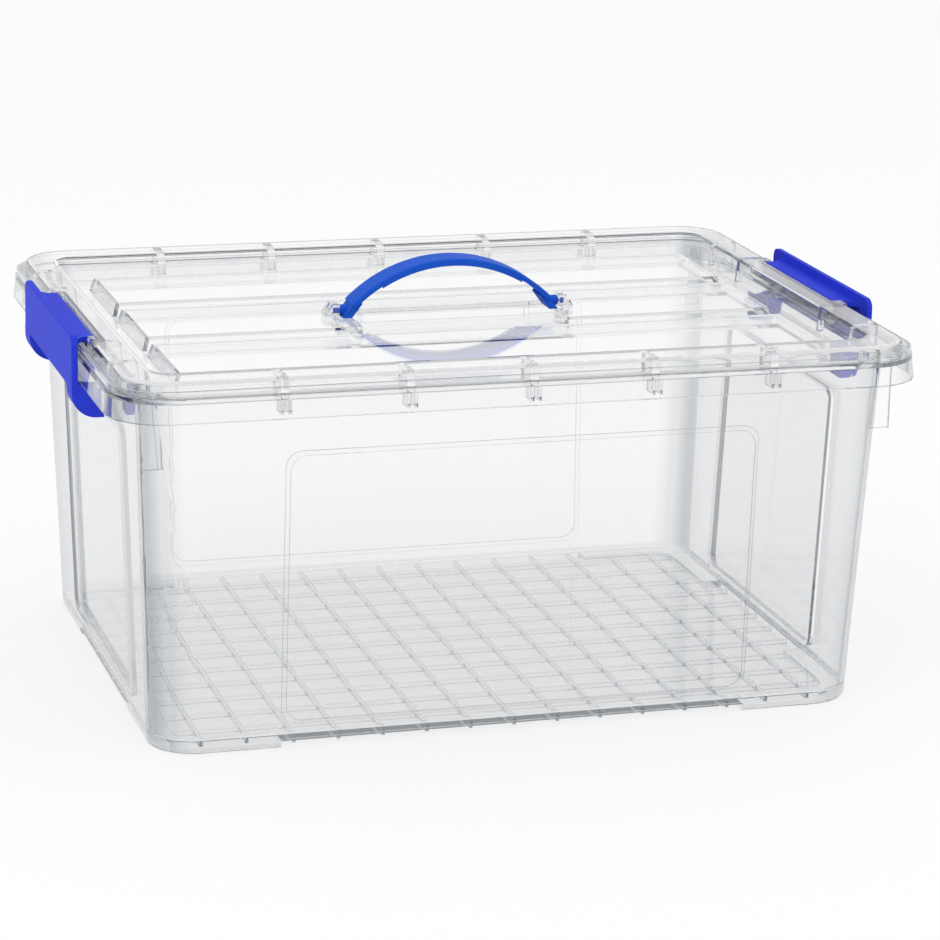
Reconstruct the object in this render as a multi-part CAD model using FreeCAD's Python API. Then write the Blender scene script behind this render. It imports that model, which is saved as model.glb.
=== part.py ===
import FreeCAD, Part
import math
import os

# Clear storage box: a drafted tub with a rim, a lid seated on the rim, two end latches and a handle.
# Millimetres, +Z up, +X along the box. The origin is on the table, under the middle of the box.

# Rim of the tub
rim_length = 400.0
rim_width = 300.0
rim_height = 178.0
rim_plate = 2.0
rim_radius = 28.0
rim_end_overhang = 15.3
rim_side_overhang = 10.0
skirt_drop = 11.0
skirt_wall = 1.8
skirt_flare = 1.0
shoulder_height = 0.8
bead_height = 4.0
bead_step = 0.6

# Walls and floor of the tub
tub_wall = 2.0
tub_end_taper = 6.7
tub_side_taper = 8.5
tub_radius_top = 22.0
tub_radius_base = 23.0
tub_edge_radius = 3.0
floor_thickness = 2.2
side_panel_half_length = 115.0
side_panel_bottom = 14.0
side_panel_top = 146.0
side_panel_radius = 8.0
side_panel_depth = 0.8
end_panel_half_width = 72.0
end_panel_bottom = 12.0
end_panel_top = 145.0
end_panel_radius = 6.0
end_panel_depth = 3.0

# Feet and grid under the floor
foot_height = 4.0
foot_width = 12.0
foot_reach_x = 117.0
foot_reach_y = 60.0
grid_pitch = 22.0
grid_rib = 1.6
grid_depth = 2.4
grid_inset = 1.0
grid_margin = 18.0

# Gussets under the rim and nesting fins at the corners
rib_pitch = 60.0
ribs_each_way = 2
gusset_wall = 1.4
gusset_pair_width = 5.0
gusset_drop = 9.0
end_gusset_y = 99.0
fin_wall = 2.0
fin_side_inset = 17.0
fin_end_inset = 14.5
fin_bottom = 142.0

# Lid
lid_end_setback = 6.5
lid_side_gap = 0.7
lid_rise = 8.0
lid_wall = 2.0
lid_radius = 24.0
lid_edge_radius = 2.5
border_end = 15.5
border_side = 17.5
border_inner_radius = 12.0
border_draft = 1.5
panel_drop = 13.0
panel_thickness = 2.0
lid_rib = 4.0
lid_rib_gap = 0.4
lid_end_rib_ys = (58.0, 99.0)
mouth_gap = 1.5

# Raised planks of the lid
plank_half_length = 161.3
plank_height = 6.7
plank_draft = 2.0
groove_y = 37.3
groove_width = 14.9
plank_outer_y = 103.4

# Handle well in the middle plank
well_gap = 0.6
well_rear_y = 5.8
foot_slot_front_y = 11.5
foot_slot_inner_x = 45.0

# Carry handle
handle_rise = 25.2
strap_width = 16.0
strap_thickness = 2.6
strap_half_length = 52.0
strap_sag = 21.3
strap_edge_radius = 0.9
grip_half_length = 38.0
grip_rim_width = 1.5
grip_rim_depth = 0.9
handle_foot_x = 57.3
handle_foot_below_pivot = 3.1
handle_foot_width = 13.5
handle_foot_wall = 3.6
handle_foot_inset = 0.8
handle_foot_overlap = 3.5
handle_boss_radius = 2.6
handle_pin_radius = 2.0
handle_pin_length = 3.0
lug_gap = 0.4
lug_length = 7.0
lug_half_width = 5.0
lug_top_length = 3.6

# Latches
pivot_inset = 2.0
pivot_drop = 2.8
barrel_radius = 2.4
latch_pin_radius = 1.4
latch_pin_length = 6.5
flange_thickness = 2.4
flange_neck = 3.6
flange_half_inner = 48.0
flange_half_outer = 57.0
latch_width = 130.0
latch_wall = 3.0
latch_skirt_gap = 1.0
latch_lip = 3.6
latch_below_skirt = 3.0
latch_corner_radius = 5.0
latch_edge_radius = 1.0
leg_width = 14.0
leg_drop = 17.0
leg_radius = 12.0
leg_relief_radius = 2.0
leg_web = 2.5
hook_gap = 1.0
hook_reach = 3.0
notch_gap = 1.0

# Fits
pin_clearance = 0.05
running_gap = 0.4
edge_tolerance = 0.05
lug_wall = 1.5
overrun = 1.0

Vector = FreeCAD.Vector
along_x = Vector(1, 0, 0)
along_y = Vector(0, 1, 0)
both_ways = (-1, 1)

# Levels and half sizes that follow from the values above
rim_half_x = rim_length / 2
rim_half_y = rim_width / 2
skirt_bottom = rim_height - skirt_drop
shoulder_top = rim_height + shoulder_height
bead_top = rim_height + bead_height
rim_underside = rim_height - rim_plate
floor_top = foot_height + floor_thickness
lid_top = rim_height + lid_rise
lid_half_x = rim_half_x - lid_end_setback
lid_half_y = rim_half_y - skirt_flare - skirt_wall - lid_side_gap
border_half_x = lid_half_x - border_end
border_half_y = lid_half_y - border_side
panel_top = lid_top - panel_drop
panel_bottom = panel_top - panel_thickness
plank_top = panel_top + plank_height
middle_plank_y = groove_y - groove_width / 2
side_plank_y = groove_y + groove_width / 2
handle_pivot_z = panel_top + strap_width / 2 + well_gap
well_half_length = strap_half_length + well_gap
foot_slot_outer_x = handle_foot_x + lug_gap
foot_slot_rear_y = math.hypot(handle_foot_width / 2, handle_foot_below_pivot) + well_gap
latch_pivot_x = lid_half_x - pivot_inset
latch_pivot_z = lid_top - pivot_drop
latch_inner_x = rim_half_x + latch_skirt_gap
latch_outer_x = latch_inner_x + latch_wall
latch_half_width = latch_width / 2
latch_top = lid_top + latch_lip
latch_bottom = skirt_bottom - latch_below_skirt
leg_bottom = skirt_bottom - leg_drop
rib_xs = [rib_pitch * step for step in range(-ribs_each_way, ribs_each_way + 1)]


def box(x0, x1, y0, y1, z0, z1):
    """Block between two corners, given in either order along each axis."""
    low = Vector(min(x0, x1), min(y0, y1), min(z0, z1))
    return Part.makeBox(abs(x1 - x0), abs(y1 - y0), abs(z1 - z0), low)


def polygon_face(points):
    """Flat face through the given corners."""
    return Part.Face(Part.makePolygon(points + points[:1]))


def arc(centre, radius, start, across):
    """Quarter arc that leaves the centre along start and ends along across."""
    middle = (start + across) * math.sqrt(1 / 2)
    return Part.Arc(centre + start * radius, centre + middle * radius, centre + across * radius).toShape()


def rounded_outline(half_u, half_v, radius, u, v, centre):
    """Rounded rectangle about a centre, in the plane of two unit directions."""
    edges = []
    turns = ((u, v), (v, -u), (-u, -v), (-v, u))
    halves = ((half_u, half_v), (half_v, half_u), (half_u, half_v), (half_v, half_u))
    for (first, second), (half_first, half_second) in zip(turns, halves):
        corner = centre + first * (half_first - radius) + second * (half_second - radius)
        edges.append(arc(corner, radius, first, second))
    wire_edges = []
    for index, edge in enumerate(edges):
        following = edges[(index + 1) % len(edges)]
        wire_edges.append(edge)
        wire_edges.append(Part.makeLine(edge.lastVertex().Point, following.firstVertex().Point))
    return Part.Wire(wire_edges)


def level_outline(half_x, half_y, radius, z):
    """Rounded rectangle that lies level at a height."""
    return rounded_outline(half_x, half_y, radius, along_x, along_y, Vector(0, 0, z))


def prism(half_x, half_y, radius, z0, z1):
    """Upright block with rounded corners."""
    return Part.Face(level_outline(half_x, half_y, radius, z0)).extrude(Vector(0, 0, z1 - z0))


def tapered(lower, upper):
    """Closed solid with flat sides between two level outlines."""
    return Part.makeLoft([lower, upper], True, True)


def mirrored_pair(shape, normal):
    """A shape and its mirror image across the origin."""
    return [shape, shape.mirror(Vector(0, 0, 0), normal)]


def tub_outline(z, end_inset, side_inset, radius_inset):
    """Level outline of the drafted tub wall, moved in from its outer face."""
    rise_share = (z - foot_height) / (rim_height - foot_height)
    radius = tub_radius_base + (tub_radius_top - tub_radius_base) * rise_share - radius_inset
    half_x, half_y = tub_half_sizes(z)
    return level_outline(half_x - end_inset, half_y - side_inset, radius, z)


def tub_half_sizes(z):
    """Half length and half width of the tub's outer face at a height."""
    drop_share = (rim_height - z) / (rim_height - foot_height)
    half_x = rim_half_x - rim_end_overhang - tub_end_taper * drop_share
    half_y = rim_half_y - rim_side_overhang - tub_side_taper * drop_share
    return half_x, half_y


def tub_form(z0, z1, inset, end_depth, side_depth):
    """Drafted block of the tub, with its walls moved in by an inset and a panel depth."""
    lower = tub_outline(z0, inset + end_depth, inset + side_depth, inset)
    upper = tub_outline(z1, inset + end_depth, inset + side_depth, inset)
    return tapered(lower, upper)


def panel_prism(half_width, bottom, top, radius, sideways, reach):
    """Rounded panel pushed right through the tub, across the given level direction."""
    across = Vector(0, 0, 1).cross(sideways)
    centre = Vector(0, 0, (bottom + top) / 2) - across * reach
    outline = rounded_outline(half_width, (top - bottom) / 2, radius, sideways, Vector(0, 0, 1), centre)
    return Part.Face(outline).extrude(across * (reach * 2))


def with_panels(block, z0, z1, inset, grow):
    """A tub block with its side and end panels pressed in."""
    side = panel_prism(side_panel_half_length + grow, side_panel_bottom - grow, side_panel_top + grow,
                       side_panel_radius, along_x, rim_half_x)
    end = panel_prism(end_panel_half_width + grow, end_panel_bottom - grow, end_panel_top + grow,
                      end_panel_radius, along_y, rim_half_x)
    pressed = block.cut(side.cut(tub_form(z0, z1, inset, 0, side_panel_depth)))
    return pressed.cut(end.cut(tub_form(z0, z1, inset, end_panel_depth, 0)))


def base_edges(shape, z):
    """Edges that lie level at a height."""
    return [edge for edge in shape.Edges
            if math.isclose(edge.BoundBox.ZMin, z, abs_tol=edge_tolerance)
            and math.isclose(edge.BoundBox.ZMax, z, abs_tol=edge_tolerance)]


def make_rim():
    """Seat of the lid with the skirt that hangs from its edge and the stepped bead above it."""
    top_x = rim_half_x - skirt_flare
    top_y = rim_half_y - skirt_flare
    inner_radius = rim_radius - skirt_wall
    outer = tapered(level_outline(rim_half_x, rim_half_y, rim_radius, skirt_bottom),
                    level_outline(top_x, top_y, rim_radius, shoulder_top))
    inner = tapered(level_outline(rim_half_x - skirt_wall, rim_half_y - skirt_wall, inner_radius, skirt_bottom),
                    level_outline(top_x - skirt_wall, top_y - skirt_wall, inner_radius, shoulder_top))
    bead = prism(top_x - bead_step, top_y - bead_step, rim_radius - bead_step, rim_underside, bead_top)
    mouth = prism(top_x - skirt_wall, top_y - skirt_wall, inner_radius, rim_height, bead_top)
    return outer.cut(inner).fuse(bead.cut(mouth))


def make_gussets():
    """Pairs of small walls that tie the skirt to the tub along its sides and ends."""
    bottom = rim_height - gusset_drop
    wall_x, wall_y = tub_half_sizes(bottom)
    skirt_x = rim_half_x - skirt_wall
    skirt_y = rim_half_y - skirt_wall
    walls = []
    for side in both_ways:
        for pair in both_ways:
            offset = pair * (gusset_pair_width - gusset_wall) / 2
            for x in rib_xs:
                walls.append(box(x + offset - gusset_wall / 2, x + offset + gusset_wall / 2,
                                 side * (wall_y - tub_wall / 2), side * skirt_y, bottom, rim_underside))
            for y in (-end_gusset_y, end_gusset_y):
                walls.append(box(side * (wall_x - tub_wall / 2), side * skirt_x,
                                 y + offset - gusset_wall / 2, y + offset + gusset_wall / 2,
                                 bottom, rim_underside))
    return walls


def make_fins():
    """Upright fins under the rim at the four corners, which stop nested tubs from jamming."""
    inner_x = rim_half_x - rim_end_overhang - tub_radius_top
    outer_x = rim_half_x - fin_end_inset
    middle_y = rim_half_y - fin_side_inset
    fins = []
    for x_side in both_ways:
        for y_side in both_ways:
            fins.append(box(x_side * inner_x, x_side * outer_x, y_side * (middle_y - fin_wall / 2),
                            y_side * (middle_y + fin_wall / 2), fin_bottom, rim_underside))
    return fins


def make_underside():
    """Space under the floor, which leaves an angled foot standing at each corner."""
    half_x, half_y = tub_half_sizes(foot_height)
    space = box(-rim_half_x, rim_half_x, -rim_half_y, rim_half_y, -overrun, foot_height)
    for x_side in both_ways:
        for y_side in both_ways:
            space = space.cut(box(x_side * foot_reach_x, x_side * rim_half_x, y_side * foot_reach_y,
                                  y_side * rim_half_y, -overrun, foot_height))
    middle = prism(half_x - foot_width, half_y - foot_width, tub_radius_base - foot_width, -overrun, foot_height)
    return space.fuse(middle)


def make_grid():
    """Square grid of ribs under the floor."""
    half_x, half_y = tub_half_sizes(foot_height)
    bottom = foot_height - grid_depth
    top = foot_height + floor_thickness / 2
    ribs = []
    columns = math.floor((half_x - grid_margin) / grid_pitch)
    rows = math.floor((half_y - grid_margin) / grid_pitch)
    reach_x = half_x - tub_edge_radius - grid_inset
    reach_y = half_y - tub_edge_radius - grid_inset
    for column in range(-columns, columns + 1):
        x = column * grid_pitch
        ribs.append(box(x - grid_rib / 2, x + grid_rib / 2, -reach_y, reach_y, bottom, top))
    for row in range(-rows, rows + 1):
        y = row * grid_pitch
        ribs.append(box(-reach_x, reach_x, y - grid_rib / 2, y + grid_rib / 2, bottom, top))
    return ribs


def make_tub():
    """The clear container: drafted walls, rim, gussets, fins, feet and floor grid in one moulding."""
    shell = tub_form(0, rim_height, 0, 0, 0)
    shell = shell.makeFillet(tub_edge_radius, base_edges(shell, 0))
    shell = with_panels(shell, 0, rim_height, 0, 0)
    mouth = rim_height + overrun
    cavity = tub_form(floor_top, mouth, tub_wall, 0, 0)
    cavity = cavity.makeFillet(tub_edge_radius, base_edges(cavity, floor_top))
    cavity = with_panels(cavity, floor_top, mouth, tub_wall, tub_wall)
    body = shell.multiFuse([make_rim()] + make_gussets() + make_fins())
    body = body.cut(cavity).cut(make_underside())
    return body.multiFuse(make_grid()).removeSplitter()


def plank_form(y0, y1, inset):
    """One raised plank with sloping sides. The inset gives the hollow under it."""
    half_width = (y1 - y0) / 2 - inset
    half_length = plank_half_length - inset
    base = panel_top if inset == 0 else panel_bottom - overrun
    top = plank_top - inset
    outlines = []
    for z in (base, top):
        spread = plank_draft * (plank_top - inset - z) / plank_height
        corners = [Vector(x * (half_length + spread), (y0 + y1) / 2 + y * (half_width + spread), z)
                   for x, y in ((-1, -1), (1, -1), (1, 1), (-1, 1))]
        outlines.append(Part.makePolygon(corners + corners[:1]))
    return tapered(*outlines)


def well_form(grow, floor):
    """Space in the middle plank for the folded handle, open to the front groove."""
    front = -groove_y
    top = plank_top + overrun
    grip_bay = box(-well_half_length - grow, well_half_length + grow, front, well_rear_y + grow, floor, top)
    foot_bay = box(foot_slot_inner_x - grow, foot_slot_outer_x + grow,
                   -foot_slot_front_y - grow, foot_slot_rear_y + grow, floor, top)
    return grip_bay.multiFuse(mirrored_pair(foot_bay, along_x))


def border_outline(grow, z):
    """Inner edge of the lid's border at a height, moved out by the wall where asked."""
    lean = border_draft * (lid_top - z) / panel_drop
    return level_outline(border_half_x - lean + grow, border_half_y - lean + grow,
                         border_inner_radius + grow, z)


def make_border():
    """Raised border of the lid, hollow from below, with the sunken panel inside it."""
    cap = prism(lid_half_x, lid_half_y, lid_radius, rim_height, lid_top)
    cap = cap.makeFillet(lid_edge_radius, base_edges(cap, lid_top))
    tray = tapered(border_outline(lid_wall, panel_bottom), border_outline(lid_wall, rim_height + overrun))
    pan = tapered(border_outline(0, panel_top), border_outline(0, lid_top + overrun))
    core = tapered(border_outline(lid_wall, panel_bottom - overrun), border_outline(lid_wall, lid_top))
    channel = prism(lid_half_x - lid_wall, lid_half_y - lid_wall, lid_radius - lid_wall,
                    rim_height - overrun, lid_top - lid_wall).cut(core)
    return cap.fuse(tray).cut(pan).cut(channel)


def make_border_ribs():
    """Ribs across the hollow border, each with a foot that drops inside the mouth of the tub."""
    low = rim_height + lid_rib_gap
    high = lid_top - lid_wall / 2
    wall_x, wall_y = tub_half_sizes(panel_top)
    mouth_x = wall_x - tub_wall - mouth_gap
    mouth_y = wall_y - tub_wall - mouth_gap
    inner_x = border_half_x + (lid_wall - border_draft) / 2
    inner_y = border_half_y + (lid_wall - border_draft) / 2
    outer_x = lid_half_x - lid_wall / 2
    outer_y = lid_half_y - lid_wall / 2
    ribs = []
    for side in both_ways:
        for x in rib_xs:
            for reach, bottom in ((outer_y, low), (mouth_y, panel_top)):
                ribs.append(box(x - lid_rib / 2, x + lid_rib / 2, side * inner_y, side * reach, bottom, high))
        for y in [sign * place for sign in both_ways for place in lid_end_rib_ys]:
            for reach, bottom in ((outer_x, low), (mouth_x, panel_top)):
                ribs.append(box(side * inner_x, side * reach, y - lid_rib / 2, y + lid_rib / 2, bottom, high))
    return ribs


def cylinder_x(radius, x0, x1, y, z):
    """Round bar along X."""
    return Part.makeCylinder(radius, x1 - x0, Vector(x0, y, z), along_x)


def cylinder_y(radius, y0, y1, x, z):
    """Round bar along Y."""
    return Part.makeCylinder(radius, y1 - y0, Vector(x, y0, z), along_y)


def make_latch_seat():
    """Block in the lid's border that carries one latch, and the notch and bore cut into it."""
    notch_inner = latch_pivot_x - barrel_radius - notch_gap
    pin_end = flange_half_inner + latch_pin_length
    block = box(notch_inner - lid_wall, lid_half_x, -pin_end - lug_wall, pin_end + lug_wall,
                rim_height, lid_top)
    notch_half = flange_half_inner + running_gap
    notch = box(notch_inner, latch_inner_x, -notch_half, notch_half,
                latch_pivot_z - barrel_radius - running_gap, lid_top + overrun)
    bore = cylinder_y(latch_pin_radius + pin_clearance, -pin_end - running_gap, pin_end + running_gap,
                      latch_pivot_x, latch_pivot_z)
    return block, notch.fuse(bore)


def make_handle_lug():
    """Wedge on the middle plank that carries one end of the handle, and its bore."""
    inner_x = foot_slot_outer_x
    outer_x = inner_x + lug_length
    base = panel_top
    bore_radius = handle_pin_radius + pin_clearance
    top = handle_pivot_z + bore_radius + lug_wall
    profile = [Vector(inner_x, -lug_half_width, base), Vector(inner_x, -lug_half_width, top),
               Vector(inner_x + lug_top_length, -lug_half_width, top),
               Vector(outer_x, -lug_half_width, plank_top), Vector(outer_x, -lug_half_width, base)]
    wedge = polygon_face(profile).extrude(Vector(0, lug_half_width * 2, 0))
    bore = cylinder_x(bore_radius, inner_x - overrun, handle_foot_x + handle_pin_length + running_gap,
                      0, handle_pivot_z)
    return wedge, bore


def make_lid():
    """The clear lid: border, sunken panel, three planks, handle well, pivot lugs and latch notches."""
    plank_spans = ((-plank_outer_y, -side_plank_y), (-middle_plank_y, middle_plank_y),
                   (side_plank_y, plank_outer_y))
    planks = [plank_form(y0, y1, 0).cut(well_form(0, panel_top)) for y0, y1 in plank_spans]
    hollows = [plank_form(y0, y1, lid_wall).cut(well_form(lid_wall, panel_bottom - overrun))
               for y0, y1 in plank_spans]
    seat, notch = make_latch_seat()
    wedge, lug_bore = make_handle_lug()
    body = make_border().multiFuse(planks)
    for hollow in hollows:
        body = body.cut(hollow)
    body = body.removeSplitter()
    body = body.multiFuse(make_border_ribs() + mirrored_pair(seat, along_x) + mirrored_pair(wedge, along_x))
    for cutter in mirrored_pair(notch, along_x) + mirrored_pair(lug_bore, along_x):
        body = body.cut(cutter)
    return body


def latch_face():
    """Outer plate of the latch: rounded top corners, straight middle and two legs."""
    leg_inner = latch_half_width - leg_width
    straight_end = leg_bottom + leg_radius
    x = latch_inner_x
    up = Vector(0, 0, 1)
    top_half = latch_half_width - latch_corner_radius
    low_half = leg_inner - leg_relief_radius
    edges = []
    for side in both_ways:
        out = along_y * side
        top_corner = Vector(x, side * top_half, latch_top - latch_corner_radius)
        relief = Vector(x, side * low_half, latch_bottom - leg_relief_radius)
        edges.append(arc(top_corner, latch_corner_radius, up, out))
        edges.append(arc(relief, leg_relief_radius, out, up))
        corners = [Vector(x, side * latch_half_width, latch_top - latch_corner_radius),
                   Vector(x, side * latch_half_width, straight_end),
                   Vector(x, side * leg_inner, straight_end),
                   Vector(x, side * leg_inner, latch_bottom - leg_relief_radius)]
        for first, second in zip(corners, corners[1:]):
            if first.distanceToPoint(second) > edge_tolerance:
                edges.append(Part.makeLine(first, second))
    edges.append(Part.makeLine(Vector(x, -top_half, latch_top), Vector(x, top_half, latch_top)))
    edges.append(Part.makeLine(Vector(x, -low_half, latch_bottom), Vector(x, low_half, latch_bottom)))
    wire = Part.Wire(Part.sortEdges(edges)[0])
    return Part.Face(wire).extrude(along_x * latch_wall)


def hook_profile(filled):
    """Curled foot of a leg in the plane y = 0: a thin curl, or the web that fills it up to the hook."""
    straight_end = leg_bottom + leg_radius
    tip_x = latch_pivot_x - hook_reach
    curl_x = latch_outer_x - leg_radius
    centre = Vector(curl_x, 0, straight_end)
    down = Vector(0, 0, -1)
    outer = arc(centre, leg_radius, along_x, down)
    outer_tip = Vector(tip_x, 0, leg_bottom)
    edges = [outer, Part.makeLine(outer.lastVertex().Point, outer_tip)]
    if filled:
        corner_reach = math.hypot(rim_half_x - latch_pivot_x, latch_pivot_z - skirt_bottom)
        hook_radius = corner_reach + hook_gap
        angles = [math.acos((x - latch_pivot_x) / hook_radius) for x in (tip_x, latch_inner_x)]
        angles.insert(1, sum(angles) / len(angles))
        start, middle, end = [Vector(latch_pivot_x + hook_radius * math.cos(angle), 0,
                                     latch_pivot_z - hook_radius * math.sin(angle)) for angle in angles]
        edges += [Part.makeLine(outer_tip, start), Part.Arc(start, middle, end).toShape(),
                  Part.makeLine(end, Vector(latch_outer_x, 0, end.z)),
                  Part.makeLine(Vector(latch_outer_x, 0, end.z), outer.firstVertex().Point)]
    else:
        inner = arc(centre, leg_radius - latch_wall, along_x, down)
        inner_tip = Vector(tip_x, 0, leg_bottom + latch_wall)
        edges += [Part.makeLine(outer_tip, inner_tip), Part.makeLine(inner_tip, inner.lastVertex().Point), inner,
                  Part.makeLine(inner.firstVertex().Point, outer.firstVertex().Point)]
    return Part.Face(Part.Wire(Part.sortEdges(edges)[0]))


def latch_flange():
    """Plate from the barrel to the outer plate, straight where it leaves the lid and then widening."""
    base = latch_pivot_z + barrel_radius - flange_thickness
    outline = [(latch_pivot_x, flange_half_inner), (latch_pivot_x + flange_neck, flange_half_inner),
               (latch_inner_x + latch_wall / 2, flange_half_outer)]
    corners = [Vector(x, -half, base) for x, half in outline]
    corners += [Vector(x, half, base) for x, half in reversed(outline)]
    return polygon_face(corners).extrude(Vector(0, 0, flange_thickness))


def make_latch():
    """Latch of the +X end: barrel and pins in the lid, flange, outer plate and two hooked legs."""
    plate = latch_face()
    front_edges = [edge for edge in plate.Edges
                   if math.isclose(edge.BoundBox.XMin, latch_outer_x, abs_tol=edge_tolerance)
                   and edge.BoundBox.ZMax > latch_bottom + edge_tolerance]
    plate = plate.makeFillet(latch_edge_radius, front_edges)
    barrel = cylinder_y(barrel_radius, -flange_half_inner, flange_half_inner, latch_pivot_x, latch_pivot_z)
    pin_end = flange_half_inner + latch_pin_length
    pins = cylinder_y(latch_pin_radius, -pin_end, pin_end, latch_pivot_x, latch_pivot_z)
    leg_inner = latch_half_width - leg_width
    pieces = [latch_flange(), barrel, pins]
    for side in both_ways:
        ends = sorted((side * leg_inner, side * latch_half_width))
        curl = hook_profile(False)
        curl.translate(Vector(0, ends[0], 0))
        pieces.append(curl.extrude(Vector(0, leg_width, 0)))
        for web_start in (ends[0], ends[1] - leg_web):
            web = hook_profile(True)
            web.translate(Vector(0, web_start, 0))
            pieces.append(web.extrude(Vector(0, leg_web, 0)))
    return plate.multiFuse(pieces).removeSplitter()


def arch_band(radius, drop, thickness, half_length, y0, y1):
    """Curved bar along the arch, below its outer face by a drop, with square ends."""
    centre = Vector(0, y0, handle_pivot_z + handle_rise - radius)
    width = y1 - y0
    ring = Part.makeCylinder(radius - drop, width, centre, along_y)
    bore = Part.makeCylinder(radius - drop - thickness, width, centre, along_y)
    end_rise = math.sqrt(radius ** 2 - half_length ** 2)
    reach = [centre + Vector(side * half_length, 0, end_rise) * 2 for side in both_ways]
    sector = polygon_face([centre] + reach).extrude(along_y * width)
    return ring.cut(bore).common(sector)


def make_handle_foot():
    """Thick foot at the +X end of the strap, sloping down past the pivot, with its boss and pin."""
    low = handle_pivot_z - handle_foot_below_pivot
    half_width = handle_foot_width / 2
    strap_end = Vector(strap_half_length, -half_width, handle_pivot_z + handle_rise - strap_sag)
    down = (Vector(handle_foot_x, -half_width, low) - strap_end).normalize()
    inward = Vector(down.z, 0, -down.x)
    outer_top = strap_end - down * handle_foot_overlap + inward * handle_foot_inset
    outer_low = outer_top + down * ((low - outer_top.z) / down.z)
    across = along_x * (handle_foot_wall / down.z)
    profile = [outer_top, outer_low, outer_low + across, outer_top + inward * handle_foot_wall]
    block = polygon_face(profile).extrude(along_y * handle_foot_width)
    at_pivot = outer_low + down * (handle_foot_below_pivot / down.z)
    middle_x = at_pivot.x + across.x / 2
    boss = cylinder_x(handle_boss_radius, middle_x, handle_foot_x, 0, handle_pivot_z)
    pin = cylinder_x(handle_pin_radius, middle_x, handle_foot_x + handle_pin_length, 0, handle_pivot_z)
    return block.multiFuse([boss, pin])


def make_handle():
    """Arched handle: strap with a rimmed grip, and a thick foot with a pin at each end."""
    radius = (strap_half_length ** 2 + strap_sag ** 2) / (2 * strap_sag)
    half_width = strap_width / 2
    strap = arch_band(radius, 0, strap_thickness, strap_half_length, -half_width, half_width)
    long_edges = [edge for edge in strap.Edges if edge.BoundBox.XLength > strap_half_length]
    strap = strap.makeFillet(strap_edge_radius, long_edges)
    pieces = mirrored_pair(make_handle_foot(), along_x)
    for side in both_ways:
        rim_ends = sorted((side * (half_width - grip_rim_width), side * half_width))
        pieces.append(arch_band(radius, strap_thickness / 2, strap_thickness / 2 + grip_rim_depth,
                                grip_half_length, rim_ends[0], rim_ends[1]))
    return strap.multiFuse(pieces).removeSplitter()


right_latch = make_latch()
left_latch = right_latch.copy()
left_latch.rotate(Vector(0, 0, 0), Vector(0, 0, 1), math.degrees(math.pi))
nodes = {
    "tub": make_tub(),
    "lid": make_lid(),
    "latch_left": left_latch,
    "latch_right": right_latch,
    "carry_handle": make_handle(),
}
os.makedirs("parts", exist_ok=True)
for name, shape in nodes.items():
    solids = shape.Solids
    body = solids[0] if len(solids) == 1 else shape
    body.exportStep(os.path.join("parts", name + ".step"))
    size = shape.optimalBoundingBox(True, False)
    print(name, "solids", len(solids), "valid", shape.isValid(), "volume", round(shape.Volume),
          "box", [round(value, 2) for value in (size.XMin, size.XMax, size.YMin, size.YMax, size.ZMin, size.ZMax)])
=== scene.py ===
import math

import bpy
from mathutils import Matrix, Vector

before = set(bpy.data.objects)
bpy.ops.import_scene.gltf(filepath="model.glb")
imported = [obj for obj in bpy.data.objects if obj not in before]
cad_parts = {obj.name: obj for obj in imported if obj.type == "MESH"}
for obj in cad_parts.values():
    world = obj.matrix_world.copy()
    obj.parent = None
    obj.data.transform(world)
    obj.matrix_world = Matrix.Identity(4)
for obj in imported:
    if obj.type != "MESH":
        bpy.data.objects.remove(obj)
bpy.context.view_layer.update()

# Camera, in metres, degrees and, for the lens, millimetres
camera_target = Vector((0.0135, 0.0, 0.0941))
camera_yaw = 16.914
camera_pitch = 15.580
camera_roll = 1.253
camera_distance = 1.8196
camera_lens = 135.98
sensor_width = 36.0

# Light and stage
world_strength = 0.92
backdrop_strength = 1.0
floor_half = 30.0
floor_colour = (0.93, 0.93, 0.935, 1.0)
floor_white_share = 0.62
white = (1.0, 1.0, 1.0, 1.0)
key_place = (-1.6, -1.6, 2.4)
key_size = 1.6
key_power = 18.0
fill_place = (2.2, -0.6, 1.6)
fill_size = 1.4
fill_power = 6.0
lamp_target = Vector((0.0, 0.0, 0.12))

# Clear plastic: its body, the waves of its surface and the light that it takes up
clear_colour = (0.998, 0.999, 1.0, 1.0)
clear_transmission = 0.985
clear_ior = 1.34
clear_roughness = (0.005, 0.03)
clear_wave_scale = 22.0
clear_wave_strength = 0.004
clear_wave_depth = 0.001
clear_absorb_colour = (0.50, 0.52, 0.54, 1.0)
tub_density = 24.0
lid_density = 8.0

# Tints of light that passes straight through: shadows, and rays reflected too often inside
clear_shadow = (0.90, 0.905, 0.91, 1.0)
clear_bounces = 2.5
tub_trapped = (0.74, 0.75, 0.76, 1.0)
lid_trapped = (0.86, 0.865, 0.87, 1.0)

# Painted shade: greyer colours by the way a surface faces, in place of the grey that refraction and
# reflection give the roundings, corners, end walls and base, with the range of facing over which each
# sets in
axis_x = 0
axis_z = 2
round_shade_colour = (0.84, 0.85, 0.86, 1.0)
round_facing = (0.80, 0.985)
corner_shade_colour = (0.60, 0.615, 0.63, 1.0)
corner_facing = (0.68, 0.90)
end_wall_shade_colour = (0.86, 0.865, 0.87, 1.0)
base_shade_colour = (0.88, 0.885, 0.89, 1.0)
flat_facing = (0.985, 0.997)
tub_painted_shades = (
    (axis_x, corner_facing, corner_shade_colour),
    (axis_x, flat_facing, end_wall_shade_colour),
    (axis_z, flat_facing, base_shade_colour),
)
lid_painted_shades = ()

# Painted shade: grey lines along sharp edges, in place of the dark lines that refraction draws there
edge_shade_colour = (0.50, 0.51, 0.52, 1.0)
line_width = 0.0008
line_turn = (0.985, 0.86)
line_samples = 4

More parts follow.
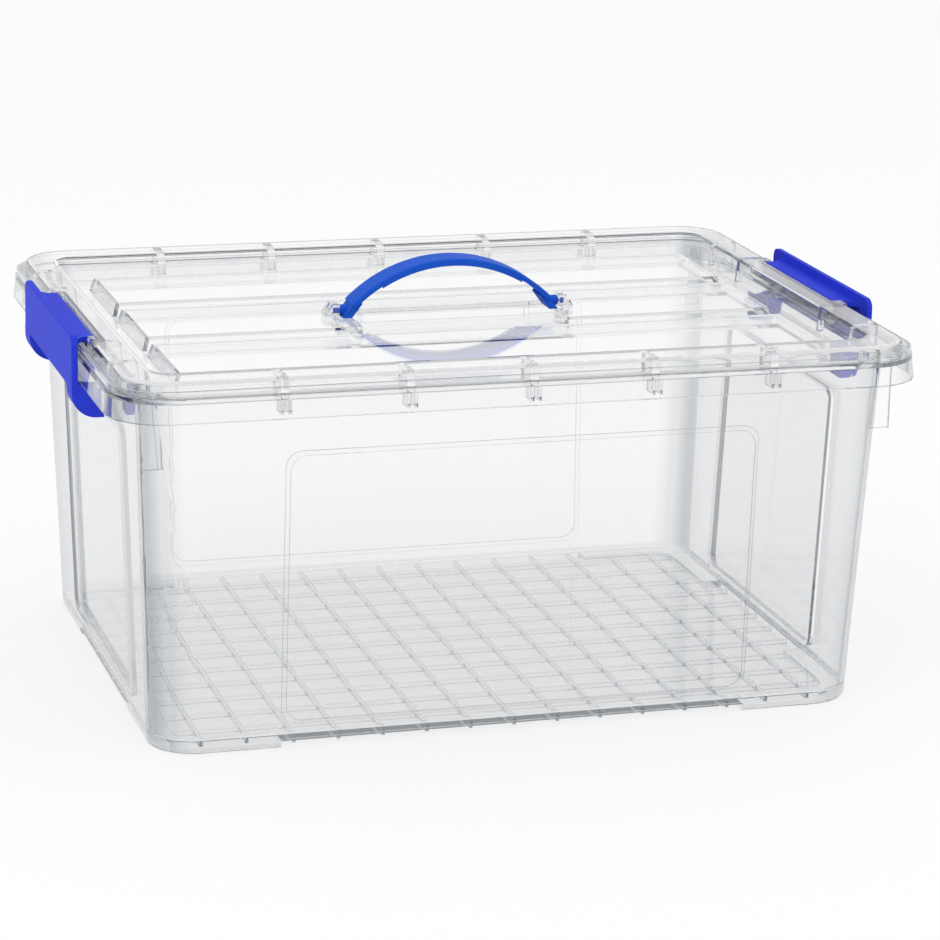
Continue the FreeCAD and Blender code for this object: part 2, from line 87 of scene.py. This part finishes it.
# Blue plastic of the latches and of the handle
latch_dark = (0.022, 0.038, 0.55, 1.0)
latch_light = (0.030, 0.056, 0.67, 1.0)
handle_dark = (0.012, 0.075, 0.50, 1.0)
handle_light = (0.018, 0.115, 0.66, 1.0)
blue_specular = 0.02
blue_roughness = (0.38, 0.50)
blue_drift_scale = 22.0
blue_grain_scale = 900.0
blue_grain_strength = 0.05
blue_grain_depth = 0.0004
noise_detail = 2.0


def new_material(name):
    """Empty node material, with its nodes and links."""
    material = bpy.data.materials.new(name)
    material.use_nodes = True
    nodes = material.node_tree.nodes
    nodes.clear()
    return material, nodes, material.node_tree.links


def noise(nodes, links, scale):
    """Noise in object space, from 0 to 1."""
    place = nodes.new("ShaderNodeTexCoord")
    texture = nodes.new("ShaderNodeTexNoise")
    texture.inputs["Scale"].default_value = scale
    texture.inputs["Detail"].default_value = noise_detail
    links.new(place.outputs["Object"], texture.inputs["Vector"])
    return texture.outputs["Fac"]


def mapped(nodes, links, source, side, low, high):
    """A value with limits set on the side that it comes from, or on the side that it goes to."""
    ramp = nodes.new("ShaderNodeMapRange")
    ramp.inputs[side + " Min"].default_value = low
    ramp.inputs[side + " Max"].default_value = high
    links.new(source, ramp.inputs["Value"])
    return ramp.outputs["Result"]


def spread(nodes, links, source, low, high):
    """A value from 0 to 1, stretched between two limits."""
    return mapped(nodes, links, source, "To", low, high)


def ramp_up(nodes, links, source, start, end):
    """Zero up to the start, one from the end."""
    return mapped(nodes, links, source, "From", start, end)


def mixed(nodes, links, share, first, second):
    """Colour between a first and a second one. Each is a colour or the output of a node."""
    mix = nodes.new("ShaderNodeMix")
    mix.data_type = "RGBA"
    for name, colour in (("A", first), ("B", second)):
        if isinstance(colour, tuple):
            mix.inputs[name].default_value = colour
        else:
            links.new(colour, mix.inputs[name])
    links.new(share, mix.inputs["Factor"])
    return mix.outputs["Result"]


def mixed_shader(nodes, links, share, first, second):
    """Shader between a first and a second one."""
    mix = nodes.new("ShaderNodeMixShader")
    links.new(share, mix.inputs["Fac"])
    links.new(first, mix.inputs[1])
    links.new(second, mix.inputs[2])
    return mix.outputs["Shader"]


def bump(nodes, links, source, strength, distance):
    """Small relief from a noise value."""
    relief = nodes.new("ShaderNodeBump")
    relief.inputs["Strength"].default_value = strength
    relief.inputs["Distance"].default_value = distance
    links.new(source, relief.inputs["Height"])
    return relief.outputs["Normal"]


def largest(nodes, links, sources):
    """The largest of a few values."""
    result = sources[0]
    for source in sources[1:]:
        step = nodes.new("ShaderNodeMath")
        step.operation = "MAXIMUM"
        links.new(result, step.inputs[0])
        links.new(source, step.inputs[1])
        result = step.outputs["Value"]
    return result


def facing(nodes, links):
    """How far the surface faces along each axis of the object, from 0 to 1."""
    place = nodes.new("ShaderNodeTexCoord")
    split = nodes.new("ShaderNodeSeparateXYZ")
    links.new(place.outputs["Normal"], split.inputs["Vector"])
    sizes = []
    for axis in ("X", "Y", "Z"):
        size = nodes.new("ShaderNodeMath")
        size.operation = "ABSOLUTE"
        links.new(split.outputs[axis], size.inputs[0])
        sizes.append(size.outputs["Value"])
    return sizes


def edge_shade_mask(nodes, links):
    """Mask for the painted edge shade: one along the sharp edges of a piece, zero on its faces."""
    rounded = nodes.new("ShaderNodeBevel")
    rounded.samples = line_samples
    rounded.inputs["Radius"].default_value = line_width
    surface = nodes.new("ShaderNodeNewGeometry")
    turn = nodes.new("ShaderNodeVectorMath")
    turn.operation = "DOT_PRODUCT"
    links.new(rounded.outputs["Normal"], turn.inputs[0])
    links.new(surface.outputs["Normal"], turn.inputs[1])
    return ramp_up(nodes, links, turn.outputs["Value"], *line_turn)


def clear_colour_with_painted_shade(nodes, links, painted_shades):
    """Colour of clear plastic with painted shade: greyer in roundings, along edges and where the painted
    shades say so.
    """
    sizes = facing(nodes, links)
    flat = ramp_up(nodes, links, largest(nodes, links, sizes), *round_facing)
    colour = mixed(nodes, links, flat, round_shade_colour, clear_colour)
    for axis, limits, tint in painted_shades:
        colour = mixed(nodes, links, ramp_up(nodes, links, sizes[axis], *limits), colour, tint)
    return mixed(nodes, links, edge_shade_mask(nodes, links), colour, edge_shade_colour)


def let_light_through(nodes, links, surface, trapped_colour):
    """Clear surface that shadow, diffuse and often reflected rays pass straight through, with a tint."""
    path = nodes.new("ShaderNodeLightPath")
    trapped = nodes.new("ShaderNodeMath")
    trapped.operation = "GREATER_THAN"
    trapped.inputs[1].default_value = clear_bounces
    links.new(path.outputs["Glossy Depth"], trapped.inputs[0])
    unlit = largest(nodes, links, [path.outputs["Is Shadow Ray"], path.outputs["Is Diffuse Ray"]])
    for share, tint in ((trapped.outputs["Value"], trapped_colour), (unlit, clear_shadow)):
        straight = nodes.new("ShaderNodeBsdfTransparent")
        straight.inputs["Color"].default_value = tint
        surface = mixed_shader(nodes, links, share, surface, straight.outputs["BSDF"])
    return surface


def clear_plastic(name, density, trapped_colour, painted_shades):
    """Water-clear moulded plastic with faint waves, greyer where light runs far through it, and with
    painted shade in its roundings, along its edges and by the way its faces turn.
    """
    material, nodes, links = new_material(name)
    shader = nodes.new("ShaderNodeBsdfPrincipled")
    shader.inputs["Transmission Weight"].default_value = clear_transmission
    shader.inputs["IOR"].default_value = clear_ior
    links.new(clear_colour_with_painted_shade(nodes, links, painted_shades), shader.inputs["Base Color"])
    wave = noise(nodes, links, clear_wave_scale)
    links.new(spread(nodes, links, wave, *clear_roughness), shader.inputs["Roughness"])
    links.new(bump(nodes, links, wave, clear_wave_strength, clear_wave_depth), shader.inputs["Normal"])
    inside = nodes.new("ShaderNodeVolumeAbsorption")
    inside.inputs["Color"].default_value = clear_absorb_colour
    inside.inputs["Density"].default_value = density
    surface = let_light_through(nodes, links, shader.outputs["BSDF"], trapped_colour)
    output = nodes.new("ShaderNodeOutputMaterial")
    links.new(surface, output.inputs["Surface"])
    links.new(inside.outputs["Volume"], output.inputs["Volume"])
    return material


def blue_plastic(name, dark, light):
    """Royal blue moulding with a fine grain and slow changes of depth."""
    material, nodes, links = new_material(name)
    shader = nodes.new("ShaderNodeBsdfPrincipled")
    shader.inputs["Specular IOR Level"].default_value = blue_specular
    drift = noise(nodes, links, blue_drift_scale)
    links.new(mixed(nodes, links, drift, dark, light), shader.inputs["Base Color"])
    grain = noise(nodes, links, blue_grain_scale)
    links.new(spread(nodes, links, grain, *blue_roughness), shader.inputs["Roughness"])
    links.new(bump(nodes, links, grain, blue_grain_strength, blue_grain_depth), shader.inputs["Normal"])
    output = nodes.new("ShaderNodeOutputMaterial")
    links.new(shader.outputs["BSDF"], output.inputs["Surface"])
    return material


def dress(node, material):
    """Gives a CAD node this one material."""
    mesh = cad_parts[node].data
    mesh.materials.clear()
    mesh.materials.append(material)


def seen_rays(nodes, links):
    """One for rays that reach the camera directly, through clear plastic or by a reflection."""
    path = nodes.new("ShaderNodeLightPath")
    kinds = ("Is Camera Ray", "Is Transmission Ray", "Is Glossy Ray")
    return largest(nodes, links, [path.outputs[kind] for kind in kinds])


def make_world():
    """Even soft light, with a white backdrop for what the camera sees."""
    world = bpy.data.worlds.new("studio")
    bpy.context.scene.world = world
    world.use_nodes = True
    nodes, links = world.node_tree.nodes, world.node_tree.links
    nodes.clear()
    shades = []
    for strength in (world_strength, backdrop_strength):
        shade = nodes.new("ShaderNodeBackground")
        shade.inputs["Color"].default_value = white
        shade.inputs["Strength"].default_value = strength
        shades.append(shade.outputs["Background"])
    output = nodes.new("ShaderNodeOutputWorld")
    links.new(mixed_shader(nodes, links, seen_rays(nodes, links), *shades), output.inputs["Surface"])


def pale_floor():
    """Diffuse floor, nearly white to the camera but with the shadow kept."""
    material, nodes, links = new_material("pale_floor")
    shader = nodes.new("ShaderNodeBsdfDiffuse")
    shader.inputs["Color"].default_value = floor_colour
    glow = nodes.new("ShaderNodeEmission")
    glow.inputs["Color"].default_value = white
    glow.inputs["Strength"].default_value = backdrop_strength
    share = spread(nodes, links, seen_rays(nodes, links), 0.0, floor_white_share)
    output = nodes.new("ShaderNodeOutputMaterial")
    surface = mixed_shader(nodes, links, share, shader.outputs["BSDF"], glow.outputs["Emission"])
    links.new(surface, output.inputs["Surface"])
    return material


def make_floor():
    """Plain floor, far larger than the view."""
    mesh = bpy.data.meshes.new("floor")
    corners = [(x * floor_half, y * floor_half, 0.0) for x, y in ((-1, -1), (1, -1), (1, 1), (-1, 1))]
    mesh.from_pydata(corners, [], [(0, 1, 2, 3)])
    mesh.materials.append(pale_floor())
    floor = bpy.data.objects.new("floor", mesh)
    bpy.context.scene.collection.objects.link(floor)


def make_lamp(name, place, size, power):
    """Soft square lamp aimed at the box."""
    data = bpy.data.lights.new(name, "AREA")
    data.shape = "SQUARE"
    data.size = size
    data.energy = power
    lamp = bpy.data.objects.new(name, data)
    lamp.location = place
    lamp.rotation_euler = (lamp_target - Vector(place)).to_track_quat("-Z", "Y").to_euler()
    bpy.context.scene.collection.objects.link(lamp)


def make_camera():
    """Camera at the photograph's viewing angle, for a square picture."""
    yaw, pitch, roll = (math.radians(angle) for angle in (camera_yaw, camera_pitch, camera_roll))
    back = Vector((-math.sin(yaw) * math.cos(pitch), -math.cos(yaw) * math.cos(pitch), math.sin(pitch)))
    level_right = (-back).cross(Vector((0, 0, 1))).normalized()
    level_up = level_right.cross(-back)
    right = level_right * math.cos(roll) + level_up * math.sin(roll)
    up = level_up * math.cos(roll) - level_right * math.sin(roll)
    turn = Matrix((right, up, back)).transposed().to_4x4()
    data = bpy.data.cameras.new("camera")
    data.lens = camera_lens
    data.sensor_width = sensor_width
    camera = bpy.data.objects.new("camera", data)
    camera.matrix_world = Matrix.Translation(camera_target + back * camera_distance) @ turn
    bpy.context.scene.collection.objects.link(camera)
    bpy.context.scene.camera = camera


bpy.context.scene.view_settings.view_transform = "Standard"
make_camera()
make_world()
make_floor()
make_lamp("key", key_place, key_size, key_power)
make_lamp("fill", fill_place, fill_size, fill_power)

dress("tub", clear_plastic("clear_tub", tub_density, tub_trapped, tub_painted_shades))
dress("lid", clear_plastic("clear_lid", lid_density, lid_trapped, lid_painted_shades))
latch_blue = blue_plastic("latch_blue", latch_dark, latch_light)
for node in ("latch_left", "latch_right"):
    dress(node, latch_blue)
dress("carry_handle", blue_plastic("handle_blue", handle_dark, handle_light))
